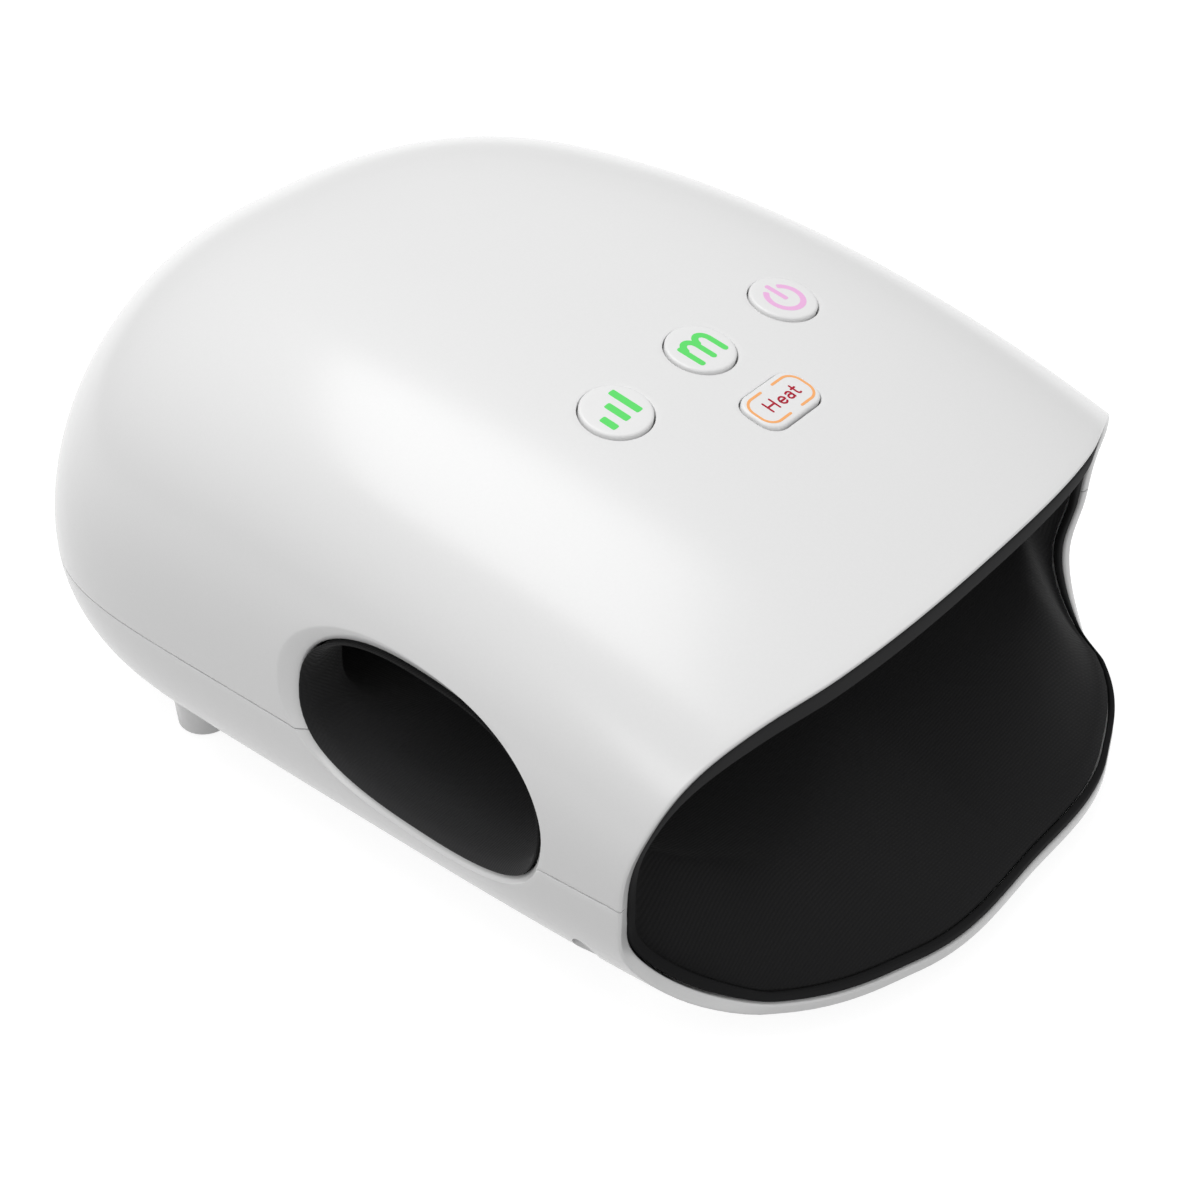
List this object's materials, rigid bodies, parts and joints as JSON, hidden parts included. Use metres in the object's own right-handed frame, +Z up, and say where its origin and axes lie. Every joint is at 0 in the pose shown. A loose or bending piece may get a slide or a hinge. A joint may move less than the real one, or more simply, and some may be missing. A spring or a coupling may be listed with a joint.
{
  "type": "cordless hand massager",
  "caption": "Cordless air-compression hand massager: white casing round a fabric-lined hand tunnel, thumb holes in both sides, buttons on top",
  "frame": {"origin": "on the surface it stands on, under the middle of the body's box", "axes": "+Z up; +Y from the open mouth to the closed back, along the hand; +X to the right when looking into the mouth"},
  "size_m": [0.16, 0.2167, 0.0944],
  "materials": {
    "white_abs": "moulded gloss white",
    "button_white": "satin white with coloured printed symbols",
    "trim_grey": "soft matt dark grey",
    "knit_fabric": "fine black knit",
    "air_bag": "welded grey film",
    "heating_film": "amber film with a heating track",
    "black_abs": "moulded matt black",
    "circuit_board": "green solder mask",
    "switch_black": "black",
    "grey_rubber": "matt grey",
    "steel": "plated",
    "battery_cell": "blue shrink sleeve over a metal can, about as dense as aluminium",
    "pump_plastic": "natural nylon",
    "silicone": "translucent tube",
    "wire_sleeve": "red sleeve"
  },
  "bodies": {
    "massager": {"upper_shell": "white_abs", "lower_shell": "white_abs", "mouth_trim": "trim_grey", "lining_upper": "knit_fabric", "lining_lower": "knit_fabric", "thumb_sleeve_right": "knit_fabric", "thumb_sleeve_left": "knit_fabric", "airbag_upper_palm": "air_bag", "airbag_upper_fingers": "air_bag", "airbag_lower_palm": "air_bag", "airbag_lower_fingers": "air_bag", "heating_film": "heating_film", "upper_tray": "black_abs", "lower_tray": "black_abs", "control_board": "circuit_board", "power_switch": "switch_black", "mode_switch": "switch_black", "level_switch": "switch_black", "heat_switch": "switch_black", "foot_pad_front_right": "grey_rubber", "foot_pad_front_left": "grey_rubber", "foot_pad_rear_right": "grey_rubber", "foot_pad_rear_left": "grey_rubber", "case_screw_front_right": "steel", "case_screw_front_left": "steel", "case_screw_rear_right": "steel", "case_screw_rear_left": "steel", "rear_bulkhead": "black_abs", "battery_cell_lower": "battery_cell", "battery_cell_upper": "battery_cell", "battery_cradle": "black_abs", "pump_motor": "steel", "pump_housing": "pump_plastic", "pump_head": "pump_plastic", "pump_cradle": "grey_rubber", "valve_right": "pump_plastic", "valve_left": "pump_plastic", "air_manifold": "pump_plastic", "hose_pump": "silicone", "hose_bag_right": "silicone", "hose_bag_left": "silicone", "power_board": "circuit_board", "charging_socket": "steel", "wire_harness": "wire_sleeve"},
    "power_key": {"power_button": "button_white", "power_plunger": "switch_black"},
    "mode_key": {"mode_button": "button_white", "mode_plunger": "switch_black"},
    "level_key": {"level_button": "button_white", "level_plunger": "switch_black"},
    "heat_key": {"heat_button": "button_white", "heat_plunger": "switch_black"},
    "pump_shaft": {"pump_rotor": "steel"},
    "valve_core_right": {"valve_plunger_right": "steel"},
    "valve_core_left": {"valve_plunger_left": "steel"}
  },
  "joints": [
    {"name": "power_press", "type": "slide", "parent": "massager", "child": "power_key", "axis": [-0.0555, 0.1811, -0.9819], "range_m": [0, 0.0006], "stiffness_N_per_m": 2000},
    {"name": "mode_press", "type": "slide", "parent": "massager", "child": "mode_key", "axis": [0, 0.1784, -0.984], "range_m": [0, 0.0006], "stiffness_N_per_m": 2000},
    {"name": "level_press", "type": "slide", "parent": "massager", "child": "level_key", "axis": [0.0555, 0.1811, -0.9819], "range_m": [0, 0.0006], "stiffness_N_per_m": 2000},
    {"name": "heat_press", "type": "slide", "parent": "massager", "child": "heat_key", "axis": [0, 0.2217, -0.9751], "range_m": [0, 0.0006], "stiffness_N_per_m": 2000},
    {"name": "pump_spin", "type": "hinge", "parent": "massager", "child": "pump_shaft", "pos_m": [0, 0.0816, 0.061], "axis": [1, 0, 0], "continuous": true},
    {"name": "valve_stroke_right", "type": "slide", "parent": "massager", "child": "valve_core_right", "axis": [0, 0, -1], "range_m": [0, 0.0008], "stiffness_N_per_m": 300},
    {"name": "valve_stroke_left", "type": "slide", "parent": "massager", "child": "valve_core_left", "axis": [0, 0, -1], "range_m": [0, 0.0008], "stiffness_N_per_m": 300}
  ]
}
